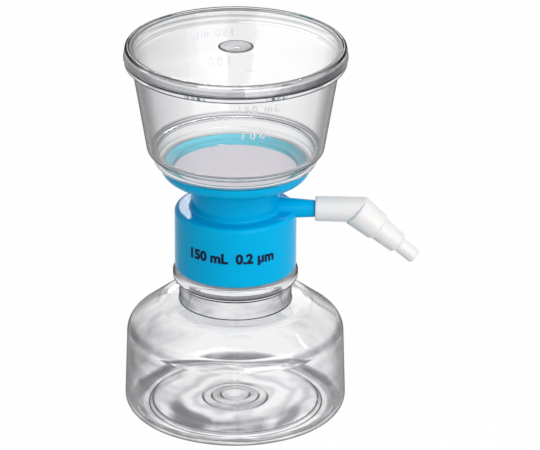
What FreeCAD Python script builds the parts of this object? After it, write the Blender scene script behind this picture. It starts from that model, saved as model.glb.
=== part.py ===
import FreeCAD, Part
import math
import os
import Sketcher

# Small vacuum filtration unit: a clear funnel with a lid, a membrane and a coloured adapter that screws
# on a squat receiver bottle, with a vacuum port and an angled hose connector at its side.
# Millimetres. The origin is the centre of the bottle's standing ring, +Z is up and the port points to +X.
# Every piece but the connector's leg is turned about +Z or about the port's axis.

SIZES = [
    # receiver bottle
    ("body_radius", 43.9, "bottle wall where the shoulder starts"),
    ("foot_flare", 1.2, "flare of the wall from there down to the table"),
    ("foot_round", 5.4, "round between standing ring and wall"),
    ("bottle_wall", 1.3, "wall of the bottle"),
    ("ring_width", 10.4, "standing ring from the wall to its inner edge"),
    ("ring_round", 0.8, "round on the standing ring's inner edge"),
    ("base_rise", 1.4, "base above the table inside the standing ring"),
    ("base_step", 0.5, "height of each of the base's round steps"),
    ("step_radius", 5.8, "innermost step of the base"),
    ("step_spacing", 3.6, "distance from step to step"),
    ("shoulder_height", 47.3, "flat top of the shoulder"),
    ("flat_radius", 30.0, "outer edge of the shoulder's flat top"),
    ("shoulder_angle", 37.7, "slope of the shoulder in degrees"),
    ("shoulder_round", 7.0, "round between wall and slope"),
    ("shoulder_blend", 6.0, "round between slope and flat top"),
    ("neck_flare", 1.8, "neck under the bead beyond the thread's root"),
    ("neck_blend", 0.9, "round at the foot of the neck"),
    ("neck_length", 7.9, "plain neck under the bead"),
    ("bead_step", 1.0, "small step ring under the bead, outwards"),
    ("bead_step_height", 1.5, "height of that step ring"),
    ("bead_width", 1.5, "support bead beyond that step ring"),
    ("bead_height", 4.7, "height of the support bead"),
    ("bead_round", 1.6, "round on the bead's edges"),
    ("finish_radius", 21.0, "root of the neck thread"),
    ("finish_height", 22.1, "neck from the bead to the lip"),
    ("finish_wall", 2.1, "wall of the neck inside its thread"),
    ("lip_round", 0.5, "round on the lip"),
    # neck thread
    ("thread_pitch", 4.0, "rise for one turn"),
    ("thread_depth", 1.3, "thread ridge above its root"),
    ("thread_root", 1.9, "width of the ridge at its root"),
    ("thread_crest", 0.9, "width of the ridge at its crest"),
    ("thread_lead", 8.0, "start of the neck thread above the bead"),
    ("neck_turns", 2.25, "turns of the neck thread"),
    ("collar_turns", 2.0, "turns of the collar thread"),
    ("thread_play", 0.2, "axial play added between the ridges"),
    ("crest_clearance", 0.45, "gap beyond the neck thread's crest"),
    ("root_clearance", 0.35, "gap between collar thread and neck"),
    ("thread_sink", 0.2, "depth that a ridge is set into its wall"),
    # neck seal
    ("seal_thick", 1.2, "gasket between lip and adapter"),
    ("seal_setback", 0.4, "gasket bore beyond the neck bore"),
    # adapter
    ("collar_gap", 0.6, "gap between bead and collar"),
    ("collar_wall", 1.85, "wall of the threaded collar"),
    ("collar_round", 0.9, "round on the collar's lower edge"),
    ("collar_chamfer", 0.6, "chamfer at the mouth of the collar"),
    ("ledge_thick", 2.6, "top of the collar"),
    ("ledge_round", 1.8, "round on the ledge's outer edge"),
    ("column_radius", 17.9, "column between ledge and dish"),
    ("column_wall", 2.0, "wall of the column"),
    ("column_height", 13.7, "column from ledge to dish"),
    ("foot_blend", 1.0, "round at the foot of the column"),
    ("dish_blend", 1.5, "round under the dish"),
    ("dish_gap", 2.7, "inside of the dish rim beyond the membrane"),
    ("dish_wall", 1.2, "wall of the dish rim"),
    ("dish_round", 5.4, "round under the dish's edge"),
    ("dish_floor", 1.9, "floor of the dish under the drain"),
    ("dish_depth", 3.05, "dish rim above the membrane seat"),
    ("rim_round", 0.3, "round on the dish rim"),
    ("drain_edge", 0.8, "drained area within the funnel's throat"),
    ("rib_height", 1.05, "support ribs above the drain floor"),
    ("rib_width", 0.8, "width of a support rib"),
    ("rib_radius", 8.8, "innermost support rib"),
    ("slot_width", 1.2, "radial drain slots through the ribs"),
    ("spout_bore", 2.6, "bore of the drip spout"),
    ("spout_root_radius", 4.2, "drip spout at the floor"),
    ("spout_tip_radius", 3.6, "drip spout at its tip"),
    ("spout_drop", 4.0, "tip of the spout under the bottle's lip"),
    # vacuum port
    ("port_drop", 0.1, "port axis under the top of the ledge"),
    ("port_root_radius", 4.35, "port arm at the column"),
    ("port_tip_radius", 3.45, "port arm at the connector"),
    ("port_reach", 31.8, "end of the tapered arm from the axis"),
    ("spigot_radius", 3.3, "spigot inside the connector"),
    ("spigot_length", 12.2, "length of the spigot"),
    ("passage_radius", 1.5, "passage through the column wall"),
    ("filter_bore", 2.2, "bore that holds the fibre plug"),
    ("filter_seat", 26.0, "start of that bore from the axis"),
    # fibre plug of the port
    ("filter_length", 12.0, "length of the fibre plug"),
    ("filter_gap", 0.05, "gap round the fibre plug"),
    # hose connector
    ("connector_gap", 0.3, "gap between arm and connector"),
    ("port_clearance", 0.08, "radial gap between spigot and socket"),
    ("socket_length", 16.4, "socket from its mouth to the bend"),
    ("socket_mouth_radius", 5.05, "socket at its mouth"),
    ("socket_bend_radius", 5.15, "socket at the bend"),
    ("socket_round", 0.7, "round on the socket's mouth"),
    ("socket_rest", 0.5, "room beyond the end of the spigot"),
    ("leg_angle", 40.0, "leg under the horizontal in degrees"),
    ("leg_bore", 1.6, "bore of the leg"),
    ("leg_back_radius", 6.7, "first stage at the bend"),
    ("first_end_radius", 5.85, "first stage at its end"),
    ("first_length", 11.0, "length of the first stage"),
    ("second_radius", 5.05, "second stage at its start"),
    ("second_end_radius", 4.3, "second stage at its end"),
    ("second_length", 9.8, "length of the second stage"),
    ("tail_radius", 3.0, "last stage, for the hose"),
    ("tail_length", 8.2, "length of the last stage"),
    ("stage_run", 1.1, "sloped length from stage to stage"),
    ("stage_round", 0.4, "round at the end of a stage"),
    ("back_round", 0.8, "round on the leg's back edge"),
    # membrane
    ("membrane_radius", 26.5, "membrane disc"),
    ("membrane_thick", 0.2, "thickness of the membrane"),
    # funnel
    ("foot_gap", 0.15, "bond gap between funnel foot and dish"),
    ("throat_edge", 1.7, "funnel's floor over the membrane's edge"),
    ("throat_lip", 1.9, "height of the throat's edge"),
    ("floor_rise", 2.6, "rise of the funnel floor to the band"),
    ("funnel_wall", 1.6, "wall of the funnel"),
    ("band_step", 2.6, "narrow band beyond the dish"),
    ("band_height", 5.0, "height of the band"),
    ("band_round", 2.5, "round at the bottom of the band"),
    ("wall_step", 2.35, "funnel wall at its bottom beyond the band"),
    ("wall_draft", 6.15, "funnel wall under the flange beyond its bottom"),
    ("wall_height", 37.4, "funnel wall from band to flange"),
    ("wall_round", 2.2, "round at the bottom of the wall"),
    ("flange_width", 2.0, "flange under the lid beyond the rim"),
    ("flange_thick", 2.3, "thickness of the flange"),
    ("flange_round", 0.6, "round on the flange"),
    ("rim_step", 0.8, "funnel rim inside the lid beyond the wall"),
    ("rim_height", 3.1, "funnel rim above the flange"),
    # lid
    ("lid_gap", 0.3, "gap between lid and funnel"),
    ("lid_wall", 1.45, "skirt of the lid"),
    ("lid_flare", 0.75, "flare of the skirt towards its edge"),
    ("lid_thick", 1.4, "panel of the lid"),
    ("lid_rim_rise", 0.5, "raised rim above the panel"),
    ("lid_rim_width", 2.1, "width of the raised rim"),
    ("lid_rim_slope", 0.3, "sloped inner side of the raised rim"),
    ("lid_round", 1.6, "round on the lid's top edge"),
    ("gate_radius", 6.2, "dimple in the middle of the lid"),
    ("gate_depth", 0.5, "depth of the dimple"),
    ("gate_ring_rise", 0.25, "raised ring round the dimple"),
    ("gate_ring_width", 0.6, "width of that ring"),
    ("edge_round", 0.3, "round on small edges"),
]
BASE_STEPS = 3
SUPPORT_RIBS = 4
DRAIN_SLOTS = 6
CUT_MARGIN = 1.0


class Size:
    """A number together with the spreadsheet expression that gives it."""

    def __init__(self, value, text):
        self.value = value
        self.text = text

    def __add__(self, other):
        other = as_size(other)
        return Size(self.value + other.value, "(%s + %s)" % (self.text, other.text))

    def __sub__(self, other):
        other = as_size(other)
        return Size(self.value - other.value, "(%s - %s)" % (self.text, other.text))

    def __mul__(self, other):
        other = as_size(other)
        return Size(self.value * other.value, "(%s * %s)" % (self.text, other.text))

    def __truediv__(self, other):
        other = as_size(other)
        return Size(self.value / other.value, "(%s / %s)" % (self.text, other.text))


def as_size(number):
    """A plain number as a Size."""
    if isinstance(number, Size):
        return number
    return Size(float(number), "%.10g" % number)


def tangent(angle):
    """Tangent of an angle in degrees."""
    return Size(math.tan(math.radians(angle.value)), "tan(%s * 1 deg)" % angle.text)


def sine(angle):
    """Sine of an angle in degrees."""
    return Size(math.sin(math.radians(angle.value)), "sin(%s * 1 deg)" % angle.text)


class Sheet:
    """The spreadsheet's sizes, each under its alias."""


doc = FreeCAD.newDocument("vacuum_filtration_unit")
spreadsheet = doc.addObject("Spreadsheet::Sheet", "Sizes")
s = Sheet()
for row, (alias, number, meaning) in enumerate(SIZES, start=1):
    spreadsheet.set("A%d" % row, alias)
    spreadsheet.set("B%d" % row, "%g" % number)
    spreadsheet.set("C%d" % row, meaning)
    spreadsheet.setAlias("B%d" % row, alias)
    setattr(s, alias, Size(float(number), "Sizes.%s" % alias))
doc.recompute()


# ---- drawing tools -------------------------------------------------------------------------------

def new_body(label):
    """An empty body under the name of its piece."""
    body = doc.addObject("PartDesign::Body", label)
    body.Label = label
    return body


def origin_plane(body, role):
    """One of the body's own origin planes."""
    return next(item for item in body.Origin.OriginFeatures if item.Role == role)


def attached_sketch(body, name, role, across=0, up=0, out=0, turn=0):
    """A sketch on an origin plane, moved in the plane and along its normal, then turned in degrees."""
    sketch = body.newObject("Sketcher::SketchObject", name)
    sketch.AttachmentSupport = [(origin_plane(body, role), "")]
    sketch.MapMode = "FlatFace"
    across, up, out, turn = [as_size(number) for number in (across, up, out, turn)]
    place = FreeCAD.Vector(across.value, up.value, out.value)
    spin = FreeCAD.Rotation(FreeCAD.Vector(0, 0, 1), turn.value)
    sketch.AttachmentOffset = FreeCAD.Placement(place, spin)
    bind(sketch, "AttachmentOffset.Base.x", across)
    bind(sketch, "AttachmentOffset.Base.y", up)
    bind(sketch, "AttachmentOffset.Base.z", out)
    bind(sketch, "AttachmentOffset.Rotation.Angle", turn, " * 1 deg")
    return sketch


def bind(item, property_name, size, unit=""):
    """Tie a property to the sheet where its size comes from there."""
    if "Sizes." in size.text:
        item.setExpression(property_name, size.text + unit)


def corner_round(before, corner, after, radius):
    """Start, middle and end of the arc that rounds a corner."""
    back = (before - corner).normalize()
    ahead = (after - corner).normalize()
    half = back.getAngle(ahead) / 2
    reach = radius / math.tan(half)
    middle = corner + (back + ahead).normalize() * (radius / math.sin(half) - radius)
    return corner + back * reach, middle, corner + ahead * reach


def draw_outline(sketch, corners):
    """Draw and constrain a closed outline. A corner is (across, up) or (across, up, round)."""
    corners = [[as_size(number) for number in corner] for corner in corners]
    points = [FreeCAD.Vector(corner[0].value, corner[1].value, 0) for corner in corners]
    count = len(corners)
    arrive = list(points)
    leave = list(points)
    arcs = {}
    for index in range(count):
        if len(corners[index]) == 3:
            before, after = points[index - 1], points[(index + 1) % count]
            start, middle, end = corner_round(before, points[index], after, corners[index][2].value)
            arrive[index], leave[index] = start, end
            arcs[index] = Part.Arc(start, middle, end)
    for index in range(count):
        sketch.addGeometry(Part.LineSegment(leave[index], arrive[(index + 1) % count]), False)
    driven = []
    for index, (across, up, *rounding) in enumerate(corners):
        line_in, line_out = (index - 1) % count, index
        if rounding:
            arc = sketch.addGeometry(arcs[index], False)
            post = sketch.addGeometry(Part.Point(points[index]), True)
            starts_here = sketch.getPoint(arc, 1).distanceToPoint(arrive[index]) < 1e-6
            first, last = (1, 2) if starts_here else (2, 1)
            sketch.addConstraint(Sketcher.Constraint("Tangent", line_in, 2, arc, first))
            sketch.addConstraint(Sketcher.Constraint("Tangent", arc, last, line_out, 1))
            sketch.addConstraint(Sketcher.Constraint("PointOnObject", post, 1, line_in))
            sketch.addConstraint(Sketcher.Constraint("PointOnObject", post, 1, line_out))
            number = sketch.addConstraint(Sketcher.Constraint("Radius", arc, rounding[0].value))
            driven.append((number, rounding[0]))
            held = (post, 1)
        else:
            sketch.addConstraint(Sketcher.Constraint("Coincident", line_in, 2, line_out, 1))
            held = (line_out, 1)
        for kind, size in (("DistanceX", across), ("DistanceY", up)):
            number = sketch.addConstraint(Sketcher.Constraint(kind, -1, 1, *held, size.value))
            driven.append((number, size))
    for number, size in driven:
        bind(sketch, "Constraints[%d]" % number, size)
    return sketch


def turned(body, name, sketch, axis="V_Axis", cut=False):
    """Revolve a sketch about one of its axes, and check that it adds or removes material."""
    before = body.Shape.Volume if cut else 0
    feature = body.newObject("PartDesign::Groove" if cut else "PartDesign::Revolution", name)
    feature.Profile = sketch
    feature.ReferenceAxis = (sketch, [axis])
    feature.Angle = 360
    doc.recompute()
    if cut and not feature.Shape.Volume < before:
        raise ValueError("%s cuts nothing" % name)
    return feature


def thread(body, name, root, crest, height, turns):
    """Wind a thread ridge round +Z, from its root to its crest radius."""
    half_root, half_crest = s.thread_root / 2, s.thread_crest / 2
    sketch = attached_sketch(body, name + "_section", "XZ_Plane")
    draw_outline(sketch, [
        (root, height - half_root),
        (crest, height - half_crest),
        (crest, height + half_crest),
        (root, height + half_root),
    ])
    before = body.Shape.Volume
    ridge = body.newObject("PartDesign::AdditiveHelix", name)
    ridge.Profile = sketch
    ridge.ReferenceAxis = (sketch, ["V_Axis"])
    ridge.Mode = 1
    ridge.Pitch = s.thread_pitch.value
    ridge.Turns = turns.value
    ridge.HasBeenEdited = True
    bind(ridge, "Pitch", s.thread_pitch)
    bind(ridge, "Turns", turns)
    doc.recompute()
    if not ridge.Shape.Volume > before:
        raise ValueError("%s adds nothing" % name)


# ---- heights and radii that several pieces share --------------------------------------------------

step_ring_height = s.shoulder_height + s.neck_length
bead_bottom = step_ring_height + s.bead_step_height
bead_top = bead_bottom + s.bead_height
lip_height = bead_top + s.finish_height
foot_radius = s.body_radius + s.foot_flare
ring_radius = foot_radius - s.ring_width
neck_radius = s.finish_radius + s.neck_flare
bead_radius = neck_radius + s.bead_step + s.bead_width
neck_bore = s.finish_radius - s.finish_wall
thread_radius = s.finish_radius + s.thread_depth
neck_thread_height = bead_top + s.thread_lead

collar_bottom = bead_top + s.collar_gap
collar_bore = thread_radius + s.crest_clearance
collar_radius = collar_bore + s.collar_wall
collar_thread_height = neck_thread_height - (s.thread_root + s.thread_crest) / 2 - s.thread_play
ledge_bottom = lip_height + s.seal_thick
ledge_top = ledge_bottom + s.ledge_thick
column_bore = s.column_radius - s.column_wall
dish_bottom = ledge_top + s.column_height
drain_floor = dish_bottom + s.dish_floor
membrane_seat = drain_floor + s.rib_height
membrane_top = membrane_seat + s.membrane_thick
dish_top = membrane_seat + s.dish_depth
dish_bore = s.membrane_radius + s.dish_gap
dish_radius = dish_bore + s.dish_wall
throat_radius = s.membrane_radius - s.throat_edge
drain_radius = throat_radius - s.drain_edge
rib_spacing = (drain_radius - s.rib_radius) / SUPPORT_RIBS
port_height = ledge_top - s.port_drop
spigot_end = s.port_reach + s.spigot_length

band_radius = dish_radius + s.band_step
wall_bottom_radius = band_radius + s.wall_step
wall_top_radius = wall_bottom_radius + s.wall_draft
rim_radius = wall_top_radius + s.rim_step
flange_radius = rim_radius + s.flange_width
band_top = dish_top + s.band_height
flange_bottom = band_top + s.wall_height
flange_top = flange_bottom + s.flange_thick
funnel_top = flange_top + s.rim_height
wall_slope = s.wall_draft / s.wall_height


# ---- receiver bottle ------------------------------------------------------------------------------

def make_receiver_bottle():
    """Blow-moulded bottle: stepped push-up base, sloped shoulder, bead and threaded neck."""
    body = new_body("receiver_bottle")
    wall = s.bottle_wall
    slope = tangent(s.shoulder_angle)
    wall_corner = s.shoulder_height - (s.body_radius - s.flat_radius) * slope
    wall_turn = tangent((as_size(90) - s.shoulder_angle) / 2)
    flat_turn = tangent(s.shoulder_angle / 2)
    ramp = wall * tangent(as_size(22.5))

    under = [
        (foot_radius, 0, s.foot_round),
        (ring_radius, 0, s.ring_round),
        (ring_radius - s.base_rise, s.base_rise, s.ring_round),
    ]
    over = [
        (foot_radius - wall, wall, s.foot_round - wall),
        (ring_radius + ramp, wall, s.ring_round),
        (ring_radius + ramp - s.base_rise, wall + s.base_rise, s.ring_round),
    ]
    for step in reversed(range(BASE_STEPS)):
        radius = s.step_radius + s.step_spacing * step
        low = s.base_rise + s.base_step * (BASE_STEPS - 1 - step)
        high = low + s.base_step
        under += [(radius, low), (radius - s.base_step, high)]
        over += [(radius + ramp, low + wall), (radius + ramp - s.base_step, high + wall)]
    middle = s.base_rise + s.base_step * BASE_STEPS
    under.append((0, middle))
    over.append((0, middle + wall))

    inside = [
        (neck_bore, lip_height, s.lip_round),
        (neck_bore, s.shoulder_height - wall, s.neck_blend),
        (s.flat_radius - wall * flat_turn, s.shoulder_height - wall, s.shoulder_blend),
        (s.body_radius - wall, wall_corner - wall * wall_turn, s.shoulder_round - wall),
    ]
    outside = [
        (s.body_radius, wall_corner, s.shoulder_round),
        (s.flat_radius, s.shoulder_height, s.shoulder_blend),
        (neck_radius, s.shoulder_height, s.neck_blend),
        (neck_radius, step_ring_height),
        (neck_radius + s.bead_step, step_ring_height, s.lip_round),
        (neck_radius + s.bead_step, bead_bottom),
        (bead_radius, bead_bottom, s.bead_round),
        (bead_radius, bead_top, s.bead_round),
        (s.finish_radius, bead_top),
        (s.finish_radius, lip_height, s.lip_round),
    ]
    sketch = attached_sketch(body, "bottle_section", "XZ_Plane")
    draw_outline(sketch, list(reversed(under)) + outside + inside + over)
    turned(body, "bottle_wall", sketch)
    thread(body, "neck_thread", s.finish_radius - s.thread_sink, thread_radius,
           neck_thread_height, s.neck_turns)
    return body


# ---- neck seal ------------------------------------------------------------------------------------

def make_neck_seal():
    """Flat gasket ring on the bottle's lip."""
    body = new_body("neck_seal")
    sketch = attached_sketch(body, "seal_section", "XZ_Plane")
    bore = neck_bore + s.seal_setback
    draw_outline(sketch, [
        (bore, lip_height),
        (thread_radius, lip_height),
        (thread_radius, ledge_bottom),
        (bore, ledge_bottom),
    ])
    turned(body, "seal_ring", sketch)
    return body


# ---- adapter --------------------------------------------------------------------------------------

def make_adapter():
    """One moulding: dish with support ribs, column with drip spout, threaded collar and port arm."""
    body = new_body("adapter")
    outer = attached_sketch(body, "adapter_outline", "XZ_Plane")
    draw_outline(outer, [
        (0, collar_bottom),
        (collar_radius, collar_bottom, s.collar_round),
        (collar_radius, ledge_top, s.ledge_round),
        (s.column_radius, ledge_top, s.foot_blend),
        (s.column_radius, dish_bottom, s.dish_blend),
        (dish_radius, dish_bottom, s.dish_round),
        (dish_radius, dish_top, s.rim_round),
        (0, dish_top),
    ])
    turned(body, "adapter_outside", outer)

    arm = attached_sketch(body, "port_outline", "XZ_Plane", up=port_height)
    draw_outline(arm, [
        (column_bore - CUT_MARGIN, 0),
        (column_bore - CUT_MARGIN, s.port_root_radius),
        (s.column_radius, s.port_root_radius),
        (s.port_reach, s.port_tip_radius, s.edge_round),
        (s.port_reach, s.spigot_radius),
        (spigot_end, s.spigot_radius, s.edge_round),
        (spigot_end, 0),
    ])
    turned(body, "port_arm", arm, axis="H_Axis")

    spout_tip = lip_height - s.spout_drop
    chamber = attached_sketch(body, "chamber_outline", "XZ_Plane")
    draw_outline(chamber, [
        (0, collar_bottom - CUT_MARGIN),
        (collar_bore + s.collar_chamfer + CUT_MARGIN, collar_bottom - CUT_MARGIN),
        (collar_bore, collar_bottom + s.collar_chamfer),
        (collar_bore, ledge_bottom),
        (column_bore, ledge_bottom),
        (column_bore, dish_bottom, s.foot_blend),
        (s.spout_root_radius, dish_bottom, s.foot_blend),
        (s.spout_tip_radius, spout_tip, s.edge_round),
        (0, spout_tip),
    ])
    turned(body, "chamber", chamber, cut=True)

    ribbed = [
        (0, dish_top + CUT_MARGIN),
        (dish_bore, dish_top + CUT_MARGIN),
        (dish_bore, membrane_seat, s.edge_round),
        (drain_radius, membrane_seat),
        (drain_radius, drain_floor),
    ]
    for rib in reversed(range(SUPPORT_RIBS)):
        outside_of_rib = s.rib_radius + rib_spacing * rib + s.rib_width / 2
        inside_of_rib = outside_of_rib - s.rib_width
        ribbed += [
            (outside_of_rib, drain_floor),
            (outside_of_rib, membrane_seat),
            (inside_of_rib, membrane_seat),
            (inside_of_rib, drain_floor),
        ]
    ribbed.append((0, drain_floor))
    dish = attached_sketch(body, "dish_outline", "XZ_Plane")
    draw_outline(dish, ribbed)
    turned(body, "dish", dish, cut=True)

    bore = attached_sketch(body, "spout_bore_outline", "XZ_Plane")
    draw_outline(bore, [
        (0, spout_tip - CUT_MARGIN),
        (s.spout_bore, spout_tip - CUT_MARGIN),
        (s.spout_bore, drain_floor + CUT_MARGIN),
        (0, drain_floor + CUT_MARGIN),
    ])
    turned(body, "spout_bore", bore, cut=True)

    passage = attached_sketch(body, "port_bore_outline", "XZ_Plane", up=port_height)
    draw_outline(passage, [
        (column_bore - CUT_MARGIN, 0),
        (column_bore - CUT_MARGIN, s.passage_radius),
        (s.filter_seat, s.passage_radius),
        (s.filter_seat, s.filter_bore),
        (spigot_end + CUT_MARGIN, s.filter_bore),
        (spigot_end + CUT_MARGIN, 0),
    ])
    turned(body, "port_bore", passage, axis="H_Axis", cut=True)

    cut_drain_slots(body)
    thread(body, "collar_thread", collar_bore + s.thread_sink, s.finish_radius + s.root_clearance,
           collar_thread_height, s.collar_turns)
    return body


def cut_drain_slots(body):
    """Radial slots through the ribs, so that the filtrate runs to the spout."""
    half = s.slot_width / 2
    slot = attached_sketch(body, "drain_slot_outline", "XY_Plane", out=membrane_seat)
    draw_outline(slot, [
        (0, as_size(0) - half),
        (drain_radius, as_size(0) - half),
        (drain_radius, half),
        (0, half),
    ])
    pocket = body.newObject("PartDesign::Pocket", "drain_slot")
    pocket.Profile = slot
    pocket.Type = 0
    pocket.Length = s.rib_height.value
    bind(pocket, "Length", s.rib_height)
    doc.recompute()
    pattern = body.newObject("PartDesign::PolarPattern", "drain_slots")
    pattern.Originals = [pocket]
    pattern.Axis = (slot, ["N_Axis"])
    pattern.Angle = 360
    pattern.Occurrences = DRAIN_SLOTS
    body.Tip = pattern
    doc.recompute()
    if not pattern.Shape.Volume < pocket.Shape.Volume:
        raise ValueError("the drain slots cut nothing")


# ---- membrane -------------------------------------------------------------------------------------

def make_membrane():
    """Thin filter disc on the ribs."""
    body = new_body("membrane")
    sketch = attached_sketch(body, "membrane_section", "XZ_Plane")
    draw_outline(sketch, [
        (0, membrane_seat),
        (s.membrane_radius, membrane_seat),
        (s.membrane_radius, membrane_top),
        (0, membrane_top),
    ])
    turned(body, "membrane_disc", sketch)
    return body


# ---- funnel ---------------------------------------------------------------------------------------

def make_funnel():
    """Clear upper chamber: foot in the dish, narrow band, drafted wall, flange and rim."""
    body = new_body("funnel")
    wall = s.funnel_wall
    foot = dish_bore - s.foot_gap
    band_inside = band_radius - wall
    inner_top = wall_top_radius - wall + wall_slope * (funnel_top - flange_bottom)
    inner_bottom = wall_bottom_radius - wall + wall_slope * wall
    throat_top = membrane_top + s.throat_lip
    sketch = attached_sketch(body, "funnel_section", "XZ_Plane")
    draw_outline(sketch, [
        (throat_radius, membrane_top),
        (foot, membrane_top, s.edge_round),
        (foot, dish_top),
        (band_radius, dish_top, s.band_round),
        (band_radius, band_top, s.edge_round),
        (wall_bottom_radius, band_top, s.wall_round),
        (wall_top_radius, flange_bottom, s.edge_round),
        (flange_radius, flange_bottom, s.flange_round),
        (flange_radius, flange_top, s.flange_round),
        (rim_radius, flange_top, s.edge_round),
        (rim_radius, funnel_top, s.edge_round),
        (inner_top, funnel_top, s.edge_round),
        (inner_bottom, band_top + wall, s.wall_round - wall / 2),
        (band_inside, band_top + wall, s.edge_round),
        (band_inside, throat_top + s.floor_rise, s.band_round - wall / 2),
        (throat_radius, throat_top, s.edge_round),
    ])
    turned(body, "funnel_wall", sketch)
    return body


# ---- lid ------------------------------------------------------------------------------------------

def make_lid():
    """Clear cap on the funnel's rim, with a raised edge and a dimple in the middle."""
    body = new_body("lid")
    skirt_bottom = flange_top + s.lid_gap
    skirt_inside = rim_radius + s.lid_gap
    skirt_outside = skirt_inside + s.lid_wall
    panel_top = funnel_top + s.lid_thick
    rim_top = panel_top + s.lid_rim_rise
    rim_inside = skirt_outside - s.lid_rim_width
    ring_outside = s.gate_radius + s.gate_ring_width
    ring_top = panel_top + s.gate_ring_rise
    sketch = attached_sketch(body, "lid_section", "XZ_Plane")
    draw_outline(sketch, [
        (0, funnel_top),
        (skirt_inside, funnel_top, s.edge_round),
        (skirt_inside + s.lid_flare, skirt_bottom, s.edge_round),
        (skirt_outside + s.lid_flare, skirt_bottom, s.edge_round),
        (skirt_outside, rim_top, s.lid_round),
        (rim_inside, rim_top, s.edge_round),
        (rim_inside - s.lid_rim_slope, panel_top, s.edge_round),
        (ring_outside, panel_top),
        (ring_outside - s.gate_ring_rise / 2, ring_top),
        (s.gate_radius, ring_top),
        (s.gate_radius - s.gate_depth / 2, panel_top - s.gate_depth),
        (0, panel_top - s.gate_depth),
    ])
    turned(body, "lid_shell", sketch)
    return body


# ---- port filter ----------------------------------------------------------------------------------

def make_port_filter():
    """Fibre plug in the bore of the port."""
    body = new_body("port_filter")
    sketch = attached_sketch(body, "plug_section", "XZ_Plane", up=port_height)
    radius = s.filter_bore - s.filter_gap
    start = s.filter_seat + s.filter_gap
    draw_outline(sketch, [
        (start, 0),
        (start, radius, s.edge_round),
        (start + s.filter_length, radius, s.edge_round),
        (start + s.filter_length, 0),
    ])
    turned(body, "fibre_plug", sketch, axis="H_Axis")
    return body


# ---- hose connector -------------------------------------------------------------------------------

def make_hose_connector():
    """Angled connector: a socket on the port's spigot and a leg of three stages for the hose."""
    body = new_body("hose_connector")
    mouth = s.port_reach + s.connector_gap
    bend = mouth + s.socket_length
    socket_tip = bend + s.leg_back_radius * sine(s.leg_angle)
    socket = attached_sketch(body, "socket_section", "XZ_Plane", up=port_height)
    draw_outline(socket, [
        (mouth, 0),
        (mouth, s.socket_mouth_radius, s.socket_round),
        (socket_tip, s.socket_bend_radius, s.back_round),
        (socket_tip, 0),
    ])
    turned(body, "socket", socket, axis="H_Axis")

    first_end = s.first_length
    second_start = first_end + s.stage_run
    second_end = second_start + s.second_length
    tail_start = second_end + s.stage_run
    tail_end = tail_start + s.tail_length
    down = as_size(0) - s.leg_angle
    leg = attached_sketch(body, "leg_section", "XZ_Plane", across=bend, up=port_height, turn=down)
    draw_outline(leg, [
        (0, 0),
        (0, s.leg_back_radius, s.back_round),
        (first_end, s.first_end_radius, s.stage_round),
        (second_start, s.second_radius),
        (second_end, s.second_end_radius, s.stage_round),
        (tail_start, s.tail_radius),
        (tail_end, s.tail_radius, s.back_round),
        (tail_end, 0),
    ])
    turned(body, "leg", leg, axis="H_Axis")

    socket_end = spigot_end + s.socket_rest
    socket_bore = attached_sketch(body, "socket_bore_outline", "XZ_Plane", up=port_height)
    draw_outline(socket_bore, [
        (mouth - CUT_MARGIN, 0),
        (mouth - CUT_MARGIN, s.spigot_radius + s.port_clearance),
        (socket_end, s.spigot_radius + s.port_clearance),
        (socket_end, s.filter_bore),
        (bend, s.filter_bore, s.edge_round),
        (bend + s.leg_bore, 0),
    ])
    turned(body, "socket_bore", socket_bore, axis="H_Axis", cut=True)

    leg_bore = attached_sketch(body, "leg_bore_outline", "XZ_Plane", across=bend, up=port_height, turn=down)
    draw_outline(leg_bore, [
        (0, 0),
        (0, s.leg_bore),
        (tail_end + CUT_MARGIN, s.leg_bore),
        (tail_end + CUT_MARGIN, 0),
    ])
    turned(body, "leg_bore", leg_bore, axis="H_Axis", cut=True)
    return body


# ---- build, check and write -----------------------------------------------------------------------

pieces = [
    make_receiver_bottle(),
    make_neck_seal(),
    make_adapter(),
    make_membrane(),
    make_funnel(),
    make_lid(),
    make_port_filter(),
    make_hose_connector(),
]
doc.recompute()

for item in doc.Objects:
    if "Invalid" in item.State or "Error" in item.State:
        raise ValueError("%s did not compute" % item.Label)
for piece in pieces:
    if piece.Shape.isNull() or not piece.Shape.isValid() or len(piece.Shape.Solids) != 1:
        raise ValueError("%s is not one valid solid" % piece.Label)

os.makedirs("parts", exist_ok=True)
for piece in pieces:
    piece.Shape.exportStep("parts/%s.step" % piece.Label)
    box = piece.Shape.BoundBox
    print("%-16s %10.1f mm3  z %6.2f to %6.2f" % (piece.Label, piece.Shape.Volume, box.ZMin, box.ZMax))
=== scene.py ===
"""Looks of a small vacuum filtration unit, built round its CAD frame.

Metres. The origin is the centre of the bottle's standing ring, +Z is up and the vacuum port points along +X.
The clear shells are spun about +Z from their outlines. The adapter, the connector and the inner parts keep
their CAD shape.
"""

import math
from typing import NamedTuple

import bmesh
import bpy
from bpy.props import FloatProperty, FloatVectorProperty, IntProperty, PointerProperty, StringProperty
from mathutils import Matrix, Vector, noise


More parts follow.
